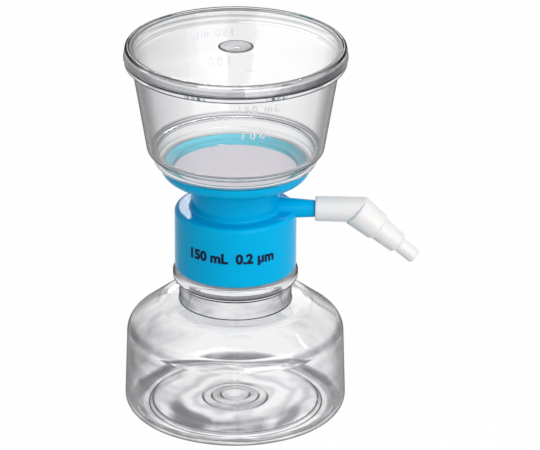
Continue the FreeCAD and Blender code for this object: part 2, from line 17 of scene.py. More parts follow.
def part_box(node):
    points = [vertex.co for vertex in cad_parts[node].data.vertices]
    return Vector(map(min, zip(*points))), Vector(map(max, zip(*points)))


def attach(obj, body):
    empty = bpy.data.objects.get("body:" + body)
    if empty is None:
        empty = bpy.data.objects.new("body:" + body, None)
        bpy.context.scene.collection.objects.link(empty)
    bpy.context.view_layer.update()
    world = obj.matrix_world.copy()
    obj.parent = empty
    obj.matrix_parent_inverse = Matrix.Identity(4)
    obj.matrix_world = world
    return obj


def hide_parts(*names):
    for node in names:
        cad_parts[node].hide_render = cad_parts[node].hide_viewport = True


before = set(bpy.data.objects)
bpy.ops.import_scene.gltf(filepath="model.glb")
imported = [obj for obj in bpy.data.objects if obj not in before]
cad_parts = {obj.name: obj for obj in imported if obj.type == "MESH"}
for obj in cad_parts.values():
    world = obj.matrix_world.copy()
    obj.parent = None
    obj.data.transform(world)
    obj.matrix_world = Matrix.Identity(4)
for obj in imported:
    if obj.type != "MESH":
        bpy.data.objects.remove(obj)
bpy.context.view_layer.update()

bl_info = {
    "name": "Vacuum Filtration Unit",
    "version": (1, 0, 0),
    "blender": (4, 5, 0),
    "location": "3D View > Sidebar > Filtration",
    "description": "Builds the looks of a clear filtration unit with a coloured adapter",
    "category": "Object",
}

MM = 0.001
FULL_TURN = 2 * math.pi
WELD = 1e-7  # points nearer than this are one point
ARC_STEP = math.radians(11)  # turn of one facet of a round
THREAD_STEPS = 96  # facets of one turn of the neck thread
SHARP_ANGLE = math.radians(32)  # a bend over this stays sharp
CREASE = "crease"  # face attribute that says how tightly an outline bends
CREASE_REACH = 0.6 * MM  # round at which a crease counts in full

BOTTLE_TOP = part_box("receiver_bottle")[1].z
DISH_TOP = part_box("adapter")[1].z
MEMBRANE_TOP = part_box("membrane")[1].z
FUNNEL_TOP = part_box("funnel")[1].z
LID_LOW, LID_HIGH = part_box("lid")


# ---- settings --------------------------------------------------------------------------------------

def length(name, description, millimetres):
    """A size in metres that a user can change."""
    return FloatProperty(name=name, description=description, default=millimetres * MM, min=0,
                         precision=5, subtype="DISTANCE", unit="LENGTH")


def slope(name, description, degrees):
    """An angle that a user can change."""
    return FloatProperty(name=name, description=description, default=math.radians(degrees),
                         subtype="ANGLE", unit="ROTATION")


def amount(name, description, default, top=1.0):
    """A plain number that a user can change."""
    return FloatProperty(name=name, description=description, default=default, min=0, soft_max=top)


def watts(name, description, default):
    """The power of a lamp."""
    return FloatProperty(name=name, description=description, default=default, min=0, unit="POWER")


def tint(name, description, default):
    """A colour that a user can change."""
    return FloatVectorProperty(name=name, description=description, default=default, size=3,
                               min=0, max=1, subtype="COLOR")


def settings(group, name, description):
    """A group of settings held by another."""
    return PointerProperty(type=group, name=name, description=description)


class BottleSizes(bpy.types.PropertyGroup):
    """Sizes of the receiver bottle"""

    foot_radius: length("Foot radius", "Wall carried down to the table", 45.1)
    foot_round: length("Foot round", "Round between standing ring and wall", 5.4)
    body_radius: length("Body radius", "Wall where the shoulder starts", 43.9)
    wall: length("Wall", "Wall of the bottle", 1.3)
    ring_radius: length("Ring radius", "Inner edge of the standing ring", 34.7)
    ring_round: length("Ring round", "Round on the standing ring's inner edge", 0.8)
    base_rise: length("Base rise", "Base above the table inside the standing ring", 1.4)
    base_step: length("Base step", "Height of each round step of the base", 0.5)
    step_radius: length("Step radius", "Innermost step of the base", 5.8)
    step_spacing: length("Step spacing", "Distance from step to step", 3.6)
    step_count: IntProperty(name="Steps", description="Round steps of the base", default=3, min=1, max=6)
    shoulder_height: length("Shoulder height", "Flat top of the shoulder", 47.3)
    flat_radius: length("Flat radius", "Outer edge of the shoulder's flat top", 30.0)
    shoulder_angle: slope("Shoulder angle", "Slope of the shoulder", 37.7)
    shoulder_round: length("Shoulder round", "Round between wall and slope", 7.0)
    shoulder_blend: length("Shoulder blend", "Round between slope and flat top", 6.0)
    neck_radius: length("Neck radius", "Neck under the bead", 22.8)
    neck_blend: length("Neck blend", "Round at the foot of the neck", 0.4)
    neck_length: length("Neck length", "Plain neck under the bead", 7.9)
    bead_step: length("Bead step", "Small step ring under the bead, outwards", 1.0)
    bead_step_height: length("Bead step height", "Height of that step ring", 1.5)
    bead_radius: length("Bead radius", "Support bead", 25.3)
    bead_height: length("Bead height", "Height of the support bead", 4.7)
    bead_round: length("Bead round", "Round on the bead's edges", 1.6)
    finish_radius: length("Finish radius", "Root of the neck thread", 21.0)
    neck_bore: length("Neck bore", "Bore of the neck", 18.9)
    lip_round: length("Lip round", "Round on the lip", 0.5)
    thread_pitch: length("Thread pitch", "Rise for one turn", 4.0)
    thread_depth: length("Thread depth", "Thread ridge above its root", 1.3)
    thread_root: length("Thread root", "Width of the ridge at its root", 1.9)
    thread_crest: length("Thread crest", "Width of the ridge at its crest", 0.9)
    thread_lead: length("Thread lead", "Start of the neck thread above the bead", 8.0)
    thread_turns: amount("Thread turns", "Turns of the neck thread", 2.25, 4)
    waviness: length("Waviness", "Unevenness of the blown inner wall", 0.16)
    wave_size: length("Wave size", "Size of the waves of that unevenness", 17.0)
    seam_rise: length("Seam rise", "Height of the mould's parting line", 0.07)
    seam_width: length("Seam width", "Half the width of the parting line", 0.3)
    seam_azimuth: slope("Seam azimuth", "Parting line from the front, to the right", 4.0)


class FunnelSizes(bpy.types.PropertyGroup):
    """Sizes of the funnel"""

    wall: length("Wall", "Wall of the funnel", 1.6)
    foot_radius: length("Foot radius", "Foot inside the adapter's dish", 29.05)
    throat_radius: length("Throat radius", "Opening over the membrane", 24.8)
    throat_lip: length("Throat lip", "Height of the throat's edge", 1.9)
    floor_rise: length("Floor rise", "Rise of the floor to the band", 2.6)
    band_radius: length("Band radius", "Narrow band over the dish", 33.0)
    band_height: length("Band height", "Height of the band", 5.0)
    band_round: length("Band round", "Round at the bottom of the band", 2.5)
    wall_bottom_radius: length("Wall bottom radius", "Wall at its bottom", 35.35)
    wall_top_radius: length("Wall top radius", "Wall under the flange", 41.5)
    wall_height: length("Wall height", "Wall from band to flange", 37.4)
    wall_round: length("Wall round", "Round at the bottom of the wall", 2.2)
    flange_radius: length("Flange radius", "Flange under the lid", 44.3)
    flange_thick: length("Flange thickness", "Thickness of the flange", 2.3)
    flange_round: length("Flange round", "Round on the flange", 0.6)
    rim_radius: length("Rim radius", "Rim inside the lid", 42.3)
    edge_round: length("Edge round", "Round on small edges", 0.2)
    rest_gap: length("Rest gap", "Air between the band and the dish's rim", 0.05)


class LidSizes(bpy.types.PropertyGroup):
    """Sizes of the lid"""

    gap: length("Gap", "Gap between lid and funnel", 0.3)
    wall: length("Skirt wall", "Skirt of the lid", 1.45)
    flare: length("Flare", "Flare of the skirt towards its edge", 0.75)
    rim_rise: length("Rim rise", "Raised rim above the panel", 0.5)
    rim_width: length("Rim width", "Width of the raised rim", 1.3)
    rim_slope: length("Rim slope", "Sloped inner side of the raised rim", 0.2)
    top_round: length("Top round", "Round on the top edge", 0.9)
    gate_radius: length("Gate radius", "Dimple in the middle", 6.2)
    gate_depth: length("Gate depth", "Depth of the dimple", 0.5)
    gate_slope: length("Gate slope", "Width of the dimple's sloping side", 1.6)
    gate_ring_rise: length("Gate ring rise", "Raised ring round the dimple", 0.15)
    gate_ring_width: length("Gate ring width", "Width of that ring", 0.9)
    edge_round: length("Edge round", "Round on small edges", 0.2)


class SeamSizes(bpy.types.PropertyGroup):
    """Sizes of the weld between funnel and adapter"""

    depth: length("Seam depth", "How far the adapter's plastic reaches into the funnel's foot", 0.06)
    inset: length("Seam inset", "From the throat to the weld", 0.1)


class MarkSizes(bpy.types.PropertyGroup):
    """Sizes of the graduation and the print"""

    letter_size: length("Letter size", "Type size of the graduation", 4.8)
    rise: length("Rise", "Moulded marks above the wall", 0.25)
    tick_length: length("Tick length", "Length of a graduation line", 3.1)
    tick_height: length("Tick height", "Height of a graduation line", 0.4)
    tick_gap: length("Tick gap", "Distance from a line to its number", 6.4)
    tick_drop: length("Tick drop", "How far a line stands below its number", 1.8)
    print_text: StringProperty(name="Print", description="Plain print on the collar",
                               default="150 mL  0.2 µm")
    print_size: length("Print size", "Type size of the print", 5.8)
    print_height: length("Print height", "Middle of the print above the table", 74.5)
    print_rise: length("Print rise", "Thickness of the ink", 0.04)
    print_azimuth: slope("Print azimuth", "Middle of the print from the front, to the right", -1.5)
    wrap_step: length("Wrap step", "Longest straight run of a wrapped letter", 0.5)


class Finishes(bpy.types.PropertyGroup):
    """Colours, and the painted shade and painted light of the clear walls"""

    clear_tone: tint("Clear tone", "What a clear wall lets through straight on", (0.97, 0.97, 0.975))
    # Painted shade: the slant, darkest and edge tones grey the clear walls where they are seen slantwise or
    # on creases. They stand for the grey room seen in the walls, not for thick plastic.
    clear_painted_slant: tint("Clear slant", "What a clear wall lets through turned away", (0.45, 0.455, 0.47))
    clear_painted_dark: tint("Clear thick", "Clear plastic where it is thick", (0.07, 0.073, 0.08))
    clear_painted_edge: tint("Clear edge", "What a clear wall lets through along it", (0.02, 0.021, 0.025))
    clear_waves: length("Clear waves", "Depth of the soft waves of a clear surface", 0.1)
    # Painted shade: one side of each clear part, away from the port, is painted greyer.
    side_painted_shade: amount("Side grey", "Extra grey of the side away from the port", 0.25)
    patchiness: amount("Patchiness", "Grey that patches of the blown wall add or take away", 0.4)
    # Painted shade: the bottle's wall, crest, neck, the lines under its bead, its lowest edge, its base
    # ripples and heel arcs are painted greyer.
    wall_painted_shade: amount("Wall grey", "Extra grey of the bottle's upright wall", 0.36)
    crest_painted_shade: amount("Crest grey", "Extra grey where that wall turns into the shoulder", 0.6)
    neck_painted_shade: amount("Neck grey", "Extra grey of the bottle's neck", 0.6)
    bead_painted_shade: amount("Bead grey", "Extra grey of the lines under the bottle's bead", 2.5, 3)
    foot_painted_shade: amount("Foot grey", "Extra grey of the bottle's lowest edge", 0.7)
    base_painted_shade: amount("Base grey", "Extra grey of the ripples in the bottle's base", 0.45)
    # Painted shade: the heel arcs are painted grey, not thicker plastic.
    arc_painted_shade: amount("Arc grey", "Extra grey of the thick arcs in the bottle's base", 1.0)
    # Painted shade on the funnel's wall and moulded edges; painted light at its flange and band.
    funnel_painted_shade: amount("Funnel grey", "Extra grey of the funnel's wall", 0.1)
    ring_painted_shade: amount("Ring grey", "Extra grey of the funnel's moulded edges", 0.75)
    flange_painted_light: amount("Flange relief", "Grey taken away at the funnel's flange", 0.35)
    band_painted_light: amount("Band relief", "Grey taken away at the funnel's band", 0.3)
    # Painted shade on the front of the lid's skirt, more towards the port, and on its dimple.
    skirt_painted_shade: amount("Skirt grey", "Extra grey of the front of the lid's skirt", 0.55)
    port_side_painted_shade: amount("Port side grey", "More of that grey towards the port", 0.6)
    dimple_painted_shade: amount("Dimple grey", "Extra grey of the lid's dimple", 0.35)
    inner_tone: tint("Inner tone", "What light caught inside a clear wall keeps", (0.85, 0.852, 0.86))
    lamp_tone: tint("Lamp tone", "What a clear wall lets through from a lamp", (0.98, 0.98, 0.98))
    clear_density: amount("Clear density", "Depth of the tint of clear walls, for a metre", 20.0, 500)
    adapter_colour: tint("Adapter", "Moulded plastic of the adapter", (0.0, 0.41, 0.74))
    # The weld itself is real; its lighter blue is painted light, for the light and white sheen seen through
    # the funnel's foot.
    weld_lit_colour: tint("Weld", "The adapter's plastic melted against the funnel", (0.14, 0.74, 0.87))
    connector_colour: tint("Connector", "Moulded plastic of the connector", (0.78, 0.775, 0.77))
    membrane_colour: tint("Membrane", "Filter membrane", (0.92, 0.865, 0.935))
    seal_colour: tint("Seal", "Translucent rubber", (0.72, 0.72, 0.70))
    plug_colour: tint("Plug", "Pressed fibre", (0.88, 0.88, 0.86))
    ink_colour: tint("Ink", "Print on the collar", (0.006, 0.009, 0.03))


class StageSettings(bpy.types.PropertyGroup):
    """Camera and lamps"""

    camera_distance: FloatProperty(name="Camera distance", description="Camera to the middle of the view",
                                   default=1.8207, subtype="DISTANCE", unit="LENGTH")
    camera_azimuth: slope("Camera azimuth", "Camera round the object, to the right", 3.0)
    camera_elevation: slope("Camera elevation", "Camera above the horizon", 23.63)
    camera_roll: slope("Camera roll", "Camera turned about the line it looks along", 0.3)
    camera_lens: FloatProperty(name="Focal length", description="Lens in millimetres", default=301.1,
                               subtype="DISTANCE_CAMERA")
    aim_height: length("Aim height", "Middle of the view above the table", 79.1)
    aim_right: length("Aim right", "Middle of the view right of the axis", 13.89)
    world_light: amount("Room light", "Even light from all round", 0.34, 2)
    key_lamp: watts("Key lamp", "Wide soft lamp at the right", 25)
    front_lamp: watts("Front lamp", "Low soft lamp in front", 10)
    side_lamp: watts("Side lamp", "Small lamp high at the side", 1.5)
    left_lamp: watts("Left lamp", "Small soft lamp at the left", 0.35)
    back_lamp: watts("Back lamp", "Wide lamp behind", 1.5)
    ledge_lamp: watts("Ledge lamp", "Narrow lamp far behind, for the adapter's ledge", 2.0)


class UnitSettings(bpy.types.PropertyGroup):
    """All settings of the unit"""

    bottle: settings(BottleSizes, "Bottle", "Sizes of the receiver bottle")
    funnel: settings(FunnelSizes, "Funnel", "Sizes of the funnel")
    lid: settings(LidSizes, "Lid", "Sizes of the lid")
    seam: settings(SeamSizes, "Seam", "Sizes of the weld between funnel and adapter")
    marks: settings(MarkSizes, "Marks", "Sizes of the graduation and the print")
    finishes: settings(Finishes, "Finishes", "Colours, and how grey the clear walls get")
    stage: settings(StageSettings, "Stage", "Camera and lamps")
    spin_steps: IntProperty(name="Spin steps", description="Faces round a turned shell", default=180,
                            min=24, max=360)


# ---- meshes ----------------------------------------------------------------------------------------

def draw_profile(bm, corners):
    """Draw an outline in the XZ plane. A corner is (radius, height) or (radius, height, round).

    An outline that starts and ends on the axis stays open, and any other is closed.
    """
    points = [Vector((corner[0], 0, corner[1])) for corner in corners]
    verts = [bm.verts.new(point) for point in points]
    count = len(verts)
    on_axis = corners[0][0] == 0 and corners[-1][0] == 0
    for index in range(count - 1 if on_axis else count):
        bm.edges.new((verts[index], verts[(index + 1) % count]))
    for index, corner in enumerate(corners):
        if len(corner) == 3:
            back = points[index - 1] - points[index]
            ahead = points[(index + 1) % count] - points[index]
            half = back.angle(ahead) / 2
            bends = max(3, round((math.pi - 2 * half) / ARC_STEP))
            bmesh.ops.bevel(bm, geom=[verts[index]], offset=corner[2] / math.tan(half),
                            offset_type="OFFSET", segments=bends, profile=0.5,
                            affect="VERTICES", clamp_overlap=False, material=-1)


def turned(corners, steps):
    """Spin an outline about +Z into a closed shell."""
    bm = bmesh.new()
    draw_profile(bm, corners)
    bmesh.ops.spin(bm, geom=bm.verts[:] + bm.edges[:], cent=(0, 0, 0), axis=(0, 0, 1),
                   angle=FULL_TURN, steps=steps, use_merge=True)
    bmesh.ops.remove_doubles(bm, verts=bm.verts[:], dist=WELD)
    bmesh.ops.recalc_face_normals(bm, faces=bm.faces[:])
    mark_creases(bm)
    return bm


def runs_round(edge):
    """Whether an edge of a turned shell lies along its turning."""
    first, second = (vert.co for vert in edge.verts)
    return abs(first.z - second.z) < WELD and abs(first.xy.length - second.xy.length) < WELD


def mark_creases(bm):
    """Store on each face how tightly the outline bends there, up to 1 on the smallest rounds."""
    crease = bm.faces.layers.float.new(CREASE)
    for face in bm.faces:
        turning = [edge for edge in face.edges if runs_round(edge)]
        bend = sum(edge.calc_face_angle(0) for edge in turning) / 2
        width = max(edge.calc_length() for edge in face.edges if edge not in turning)
        face[crease] = min(1, bend / width * CREASE_REACH)


def mesh_of(bm, name):
    """Write a bmesh into a new smooth mesh whose sharp edges stay sharp."""
    mesh = bpy.data.meshes.new(name)
    bm.to_mesh(mesh)
    bm.free()
    mesh.shade_smooth()
    mesh.set_sharp_from_angle(angle=SHARP_ANGLE)
    return mesh


def add_piece(name, mesh, material, body, replaced=()):
    """Put a mesh in the scene as a piece that rides on a CAD body."""
    piece = bpy.data.objects.new(name, mesh)
    bpy.context.scene.collection.objects.link(piece)
    mesh.materials.clear()
    mesh.materials.append(material)
    even = piece.modifiers.new("even_shading", "WEIGHTED_NORMAL")
    even.keep_sharp = True
    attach(piece, body)
    if replaced:
        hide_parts(*replaced)
    return piece


def paint_node(node, material):
    """Give a CAD node its finish."""
    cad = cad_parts[node]
    for slot in cad.material_slots:
        slot.material = material


def text_sheet(bm, text, size, thick, up, weight, spread=1.0):
    """Lay extruded letters flat in the XY plane, their middle at the given height."""
    curve = bpy.data.curves.new("letters", "FONT")
    curve.body = text
    curve.size = size
    curve.extrude = thick / 2
    curve.offset = size * weight
    curve.space_character = spread
    curve.align_x = "CENTER"
    curve.align_y = "CENTER"
    curve.resolution_u = 3
    holder = bpy.data.objects.new("letters", curve)
    mesh = bpy.data.meshes.new_from_object(holder)
    mesh.transform(Matrix.Translation((0, up, 0)))
    bm.from_mesh(mesh)
    bmesh.ops.remove_doubles(bm, verts=bm.verts[:], dist=WELD)
    bpy.data.objects.remove(holder)
    bpy.data.curves.remove(curve)
    bpy.data.meshes.remove(mesh)


def tick_sheet(bm, wide, high, thick, across, up):
    """Lay one flat bar in the XY plane."""
    place = Matrix.Translation((across, up, 0)) @ Matrix.Diagonal((wide, high, thick, 1))
    bmesh.ops.create_cube(bm, size=1, matrix=place)


def cut_across(bm, step):
    """Cut flat letters into upright strips, so that they can bend round a wall."""
    left = min(vert.co.x for vert in bm.verts)
    right = max(vert.co.x for vert in bm.verts)
    for number in range(1, math.ceil((right - left) / step)):
        bmesh.ops.bisect_plane(bm, geom=bm.verts[:] + bm.edges[:] + bm.faces[:], dist=WELD,
                               plane_co=(left + number * step, 0, 0), plane_no=(1, 0, 0))


def wrap_round(bm, azimuth, radius_at, rise):
    """Wrap a flat sheet round the Z axis. Azimuth is from the front, to the right."""
    for vert in bm.verts:
        across, up, out = vert.co
        radius = radius_at(up) + rise / 2 + out
        turn = azimuth + across / radius_at(up)
        vert.co = (radius * math.sin(turn), -radius * math.cos(turn), up)


# ---- materials -------------------------------------------------------------------------------------

class Recipe:
    """The nodes of a material or a world: short ways to add and join them."""

    def __init__(self, owner, output="OutputMaterial"):
        owner.use_nodes = True
        self.owner = owner
        self.nodes = owner.node_tree.nodes
        self.links = owner.node_tree.links
        self.nodes.clear()
        self.output = self.add(output)
        self.coordinates = self.add("TexCoord").outputs["Object"]

    def add(self, kind, **values):
        """Add a shader node; each value sets an input, with underscores for spaces."""
        node = self.nodes.new("ShaderNode" + kind)
        for key, value in values.items():
            node.inputs[key.replace("_", " ")].default_value = value
        return node

    def join(self, source, target):
        """Link an output to an input."""
        self.links.new(source, target)

    def pattern(self, scale, detail=3.0, roughness=0.5, stretch=None):
        """Noise on the object's own coordinates, in waves for a metre."""
        texture = self.add("TexNoise", Scale=scale, Detail=detail, Roughness=roughness)
        source = self.coordinates
        if stretch:
            mapping = self.add("Mapping", Scale=stretch)
            self.join(source, mapping.inputs["Vector"])
            source = mapping.outputs["Vector"]
        self.join(source, texture.inputs["Vector"])
        return texture.outputs["Fac"]

    def between(self, factor, low, high):
        """Map a factor to a range."""
        spread = self.add("MapRange", To_Min=low, To_Max=high)
        self.join(factor, spread.inputs["Value"])
        return spread.outputs["Result"]

    def graded(self, factor, stops):
        """A colour from a row of places and colours."""
        ramp = self.add("ValToRGB")
        elements = ramp.color_ramp.elements
        while len(elements) < len(stops):
            elements.new(1.0)
        for element, (position, colour) in zip(elements, stops):
            element.position = position
            element.color = (*colour, 1)
        self.join(factor, ramp.inputs["Fac"])
        return ramp.outputs["Color"]

    def blend(self, factor, first, second):
        """A colour between two colours."""
        return self.graded(factor, [(0.0, first), (1.0, second)])

    def along(self, axis):
        """The place along an axis, X, Y or Z."""
        split = self.add("SeparateXYZ")
        self.join(self.coordinates, split.inputs[0])
        return split.outputs[axis]

    def radius(self):
        """The distance from the Z axis."""
        flat = self.add("VectorMath")
        flat.operation = "MULTIPLY"
        flat.inputs[1].default_value = (1, 1, 0)
        self.join(self.coordinates, flat.inputs[0])
        size = self.add("VectorMath")
        size.operation = "LENGTH"
        self.join(flat.outputs["Vector"], size.inputs[0])
        return size.outputs["Value"]

    def strip(self, place, low, high, fade):
        """One between two places, fading to nothing beyond them."""
        rise = self.add("MapRange", From_Min=low - fade, From_Max=low)
        fall = self.add("MapRange", From_Min=high, From_Max=high + fade, To_Min=1, To_Max=0)
        for side in (rise, fall):
            self.join(place, side.inputs["Value"])
        return self.product(rise.outputs["Result"], fall.outputs["Result"])

    def slope_over(self, place, low, high, most):
        """A factor that falls from most to nothing between two places."""
        fall = self.add("MapRange", From_Min=low, From_Max=high, To_Min=most, To_Max=0)
        self.join(place, fall.inputs["Value"])
        return fall.outputs["Result"]

    def ripples(self, scale, distortion):
        """Uneven round ripples about the Z axis."""
        texture = self.add("TexWave", Scale=scale, Distortion=distortion, Detail=2.0, Detail_Scale=1.5)
        texture.wave_type = "RINGS"
        texture.rings_direction = "Z"
        self.join(self.coordinates, texture.inputs["Vector"])
        return texture.outputs["Fac"]

    def combined(self, operation, factors):
        """Factors put together one after the other; any may be a plain number."""
        whole = factors[0]
        for factor in factors[1:]:
            step = self.add("Math")
            step.operation = operation
            for index, part in enumerate((whole, factor)):
                if isinstance(part, (int, float)):
                    step.inputs[index].default_value = part
                else:
                    self.join(part, step.inputs[index])
            whole = step.outputs[0]
        return whole

    def product(self, *factors):
        """The product of factors."""
        return self.combined("MULTIPLY", factors)

    def total(self, *factors):
        """The sum of factors."""
        return self.combined("ADD", factors)

    def mixed(self, factor, first, second):
        """A shader between two shaders."""
        mix = self.add("MixShader")
        for source, target in zip((factor, first, second), mix.inputs):
            self.join(source, target)
        return mix.outputs[0]

    def bumped(self, shader, height, depth):
        """Raise a shader's surface by a height pattern, depth in metres."""
        bump = self.add("Bump", Distance=depth)
        self.join(height, bump.inputs["Height"])
        self.join(bump.outputs["Normal"], shader.inputs["Normal"])

    def finished(self, shader, colour, rough, relief):
        """Vary a shader by patterns and make it the whole surface.

        Colour and rough are a pattern and its two ends, and relief is a pattern and its depth in metres.
        """
        self.join(self.blend(*colour), shader.inputs["Base Color"])
        self.join(self.between(*rough), shader.inputs["Roughness"])
        self.bumped(shader, *relief)
        self.join(shader.outputs[0], self.output.inputs["Surface"])
        return self.owner


def shade(colour, factor):
    """A colour made lighter or darker."""
    return tuple(min(1.0, channel * factor) for channel in colour)


class ClearWall(NamedTuple):
    """What sets one clear moulding apart from another."""

    index: float  # index of refraction
    wave_scale: float  # soft waves, for a metre
    uneven: float  # grey that those waves add or take away
    rough: float  # roughness where it is haziest
    slant: float  # how far a wall turns away before its painted shade starts
    edge: float  # how far it turns away before its painted dark edge starts
    crease_painted_shade: float  # painted shade that the tightest rounds add to that


BOTTLE_WALL = ClearWall(index=1.57, wave_scale=45.0, uneven=0.15, rough=0.03, slant=0.6, edge=0.62,
                        crease_painted_shade=0.72)
FUNNEL_WALL = ClearWall(index=1.58, wave_scale=30.0, uneven=0.1, rough=0.015, slant=0.36, edge=0.52,
                        crease_painted_shade=0.85)
LID_WALL = ClearWall(index=1.58, wave_scale=30.0, uneven=0.05, rough=0.05, slant=0.6, edge=0.72,
                     crease_painted_shade=0.75)
RAMP_SCALE = 0.7  # greys run up to about 1.4, and a colour ramp only to 1
EDGE_SHARE = 0.95  # share of the painted dark edge where a wall is seen along it
INNER_EDGE = 0.35  # how much of it is left where the wall is met from inside
DEPTH_TINT = (0.6, 0.61, 0.63, 1)  # tint of clear plastic with depth


def clear_plastic(recipe, wall, finish, extra_painted_shade, edge_left=1.0):
    """Clear plastic that lets lamps through, tinted a little with depth, with painted shade where its wall
    is seen slantwise and on its creases.

    The extra painted shade is added to that. Edge left says how much of the painted crease shade and the
    painted dark edge stays.
    """
    glass = recipe.add("BsdfPrincipled", IOR=wall.index, Transmission_Weight=1.0)
    wave = recipe.pattern(wall.wave_scale, detail=2.0, stretch=(1, 1, 0.3))
    recipe.bumped(glass, wave, finish.clear_waves)
    haze = recipe.pattern(90.0, detail=4.0)
    recipe.join(recipe.between(haze, wall.rough * 0.3, wall.rough), glass.inputs["Roughness"])
    # Painted shade: grey by how slantwise the wall is seen, by its creases and by the extra painted shade.
    facing = recipe.add("LayerWeight", Blend=0.5).outputs["Facing"]
    crease = recipe.add("Attribute")
    crease.attribute_name = CREASE
    turned_away = recipe.total(facing, recipe.product(crease.outputs["Fac"], wall.crease_painted_shade, edge_left))
    grey = recipe.total(turned_away, recipe.between(wave, -wall.uneven, wall.uneven), extra_painted_shade)
    stops = [(wall.slant * RAMP_SCALE, finish.clear_tone), (RAMP_SCALE, finish.clear_painted_slant),
             (1.0, finish.clear_painted_dark)]
    recipe.join(recipe.graded(recipe.product(grey, RAMP_SCALE), stops), glass.inputs["Base Color"])
    edge = recipe.add("MapRange", From_Min=wall.edge, To_Max=EDGE_SHARE)
    recipe.join(turned_away, edge.inputs["Value"])
    from_inside = recipe.add("NewGeometry").outputs["Backfacing"]
    side_left = recipe.between(from_inside, 1.0, INNER_EDGE)
    edge_share = recipe.product(edge.outputs["Result"], side_left, edge_left)
    # Painted shade: a dark see-through layer where the wall is seen along it.
    dark = recipe.add("BsdfTransparent", Color=(*finish.clear_painted_edge, 1))
    surface = recipe.mixed(edge_share, glass.outputs[0], dark.outputs[0])
    path = recipe.add("LightPath")
    for ray, tone in (("Is Reflection Ray", finish.inner_tone), ("Is Diffuse Ray", finish.lamp_tone),
                      ("Is Shadow Ray", finish.lamp_tone)):
        way_through = recipe.add("BsdfTransparent", Color=(*tone, 1))
        surface = recipe.mixed(path.outputs[ray], surface, way_through.outputs[0])
    recipe.join(surface, recipe.output.inputs["Surface"])
    depth = recipe.add("VolumeAbsorption", Color=DEPTH_TINT, Density=finish.clear_density)
    recipe.join(depth.outputs[0], recipe.output.inputs["Volume"])
    return recipe.owner


def moulded_plastic(name, colour, rough, grain, grain_depth, shine=0.5, scatter=0.0):
    """Opaque moulded plastic with faint flow marks and a fine grain."""
    recipe = Recipe(bpy.data.materials.new(name))
    plastic = recipe.add("BsdfPrincipled", IOR=1.5, Specular_IOR_Level=shine,
                         Subsurface_Weight=scatter, Subsurface_Scale=2 * MM)
    flow = recipe.pattern(38.0, stretch=(1, 1, 0.35))
    haze = recipe.pattern(420.0, detail=4.0)
    grit = recipe.pattern(grain, detail=4.0, roughness=0.6)
    return recipe.finished(plastic, colour=(flow, shade(colour, 0.94), shade(colour, 1.05)),
                           rough=(haze, rough * 0.75, rough * 1.3), relief=(grit, grain_depth))


def membrane_paper(name, colour):
    """Matt filter membrane with a fine web."""
    recipe = Recipe(bpy.data.materials.new(name))
    paper = recipe.add("BsdfPrincipled", IOR=1.4, Sheen_Weight=0.2, Sheen_Roughness=0.5)
    cloud = recipe.pattern(120.0, detail=5.0, roughness=0.6)
    web = recipe.pattern(2600.0, detail=5.0, roughness=0.7)
    return recipe.finished(paper, colour=(cloud, shade(colour, 0.95), shade(colour, 1.06)),
                           rough=(cloud, 0.75, 0.95), relief=(web, 0.04 * MM))


def soft_rubber(name, colour):
    """Pale translucent rubber."""
    recipe = Recipe(bpy.data.materials.new(name))
    rubber = recipe.add("BsdfPrincipled", IOR=1.41, Subsurface_Weight=0.4, Subsurface_Scale=1 * MM)
    cloud = recipe.pattern(260.0)
    return recipe.finished(rubber, colour=(cloud, shade(colour, 0.94), shade(colour, 1.04)),
                           rough=(cloud, 0.4, 0.55), relief=(recipe.pattern(900.0), 0.02 * MM))


def pressed_fibre(name, colour):
    """White fibres pressed along the port."""
    recipe = Recipe(bpy.data.materials.new(name))
    fibre = recipe.add("BsdfPrincipled", Sheen_Weight=0.3)
    strands = recipe.pattern(1800.0, detail=5.0, roughness=0.7, stretch=(0.25, 1, 1))
    return recipe.finished(fibre, colour=(strands, shade(colour, 0.86), shade(colour, 1.05)),
                           rough=(strands, 0.8, 1.0), relief=(strands, 0.2 * MM))


def printed_ink(name, colour):
    """Dark pad-printed ink, a little uneven."""
    recipe = Recipe(bpy.data.materials.new(name))
    ink = recipe.add("BsdfPrincipled", IOR=1.5, Specular_IOR_Level=0.05)
    patches = recipe.pattern(700.0, detail=4.0)
    return recipe.finished(ink, colour=(patches, colour, shade(colour, 2.2)),
                           rough=(patches, 0.3, 0.5), relief=(patches, 0.02 * MM))


def frosted_mark(name):
    """Raised marks of the funnel's own plastic, frosted in the mould."""
    recipe = Recipe(bpy.data.materials.new(name))
    frost = recipe.add("BsdfPrincipled", Base_Color=(0.9, 0.91, 0.92, 1), IOR=1.45, Transmission_Weight=0.55)
    grain = recipe.pattern(3200.0, detail=4.0)
    recipe.join(recipe.between(grain, 0.35, 0.6), frost.inputs["Roughness"])
    recipe.bumped(frost, grain, 0.03 * MM)
    recipe.join(frost.outputs[0], recipe.output.inputs["Surface"])
    return recipe.owner


def seen_by_eye(recipe):
    """One where a camera, glossy or transmission ray arrives, else zero."""
    path = recipe.add("LightPath")
    rays = ("Is Camera Ray", "Is Glossy Ray", "Is Transmission Ray")
    return recipe.combined("MAXIMUM", [path.outputs[ray] for ray in rays])


def white_seen(name, see_share, colour):
    """Pale ground that the camera, gloss and glass see mostly as plain white, with its shadow kept."""
    recipe = Recipe(bpy.data.materials.new(name))
    ground = recipe.add("BsdfDiffuse", Roughness=1.0)
    cloud = recipe.pattern(3.0, detail=2.0)
    recipe.join(recipe.blend(cloud, shade(colour, 0.995), colour), ground.inputs["Color"])
    glow = recipe.add("Emission", Color=(1, 1, 1, 1), Strength=1.0)
    share = recipe.product(seen_by_eye(recipe), see_share)
    recipe.join(recipe.mixed(share, ground.outputs[0], glow.outputs[0]), recipe.output.inputs["Surface"])
    return recipe.owner


# ---- receiver bottle -------------------------------------------------------------------------------

def wall_top(size):
    """The height at which the bottle's wall meets its sloped shoulder."""
    return size.shoulder_height - (size.body_radius - size.flat_radius) * math.tan(size.shoulder_angle)


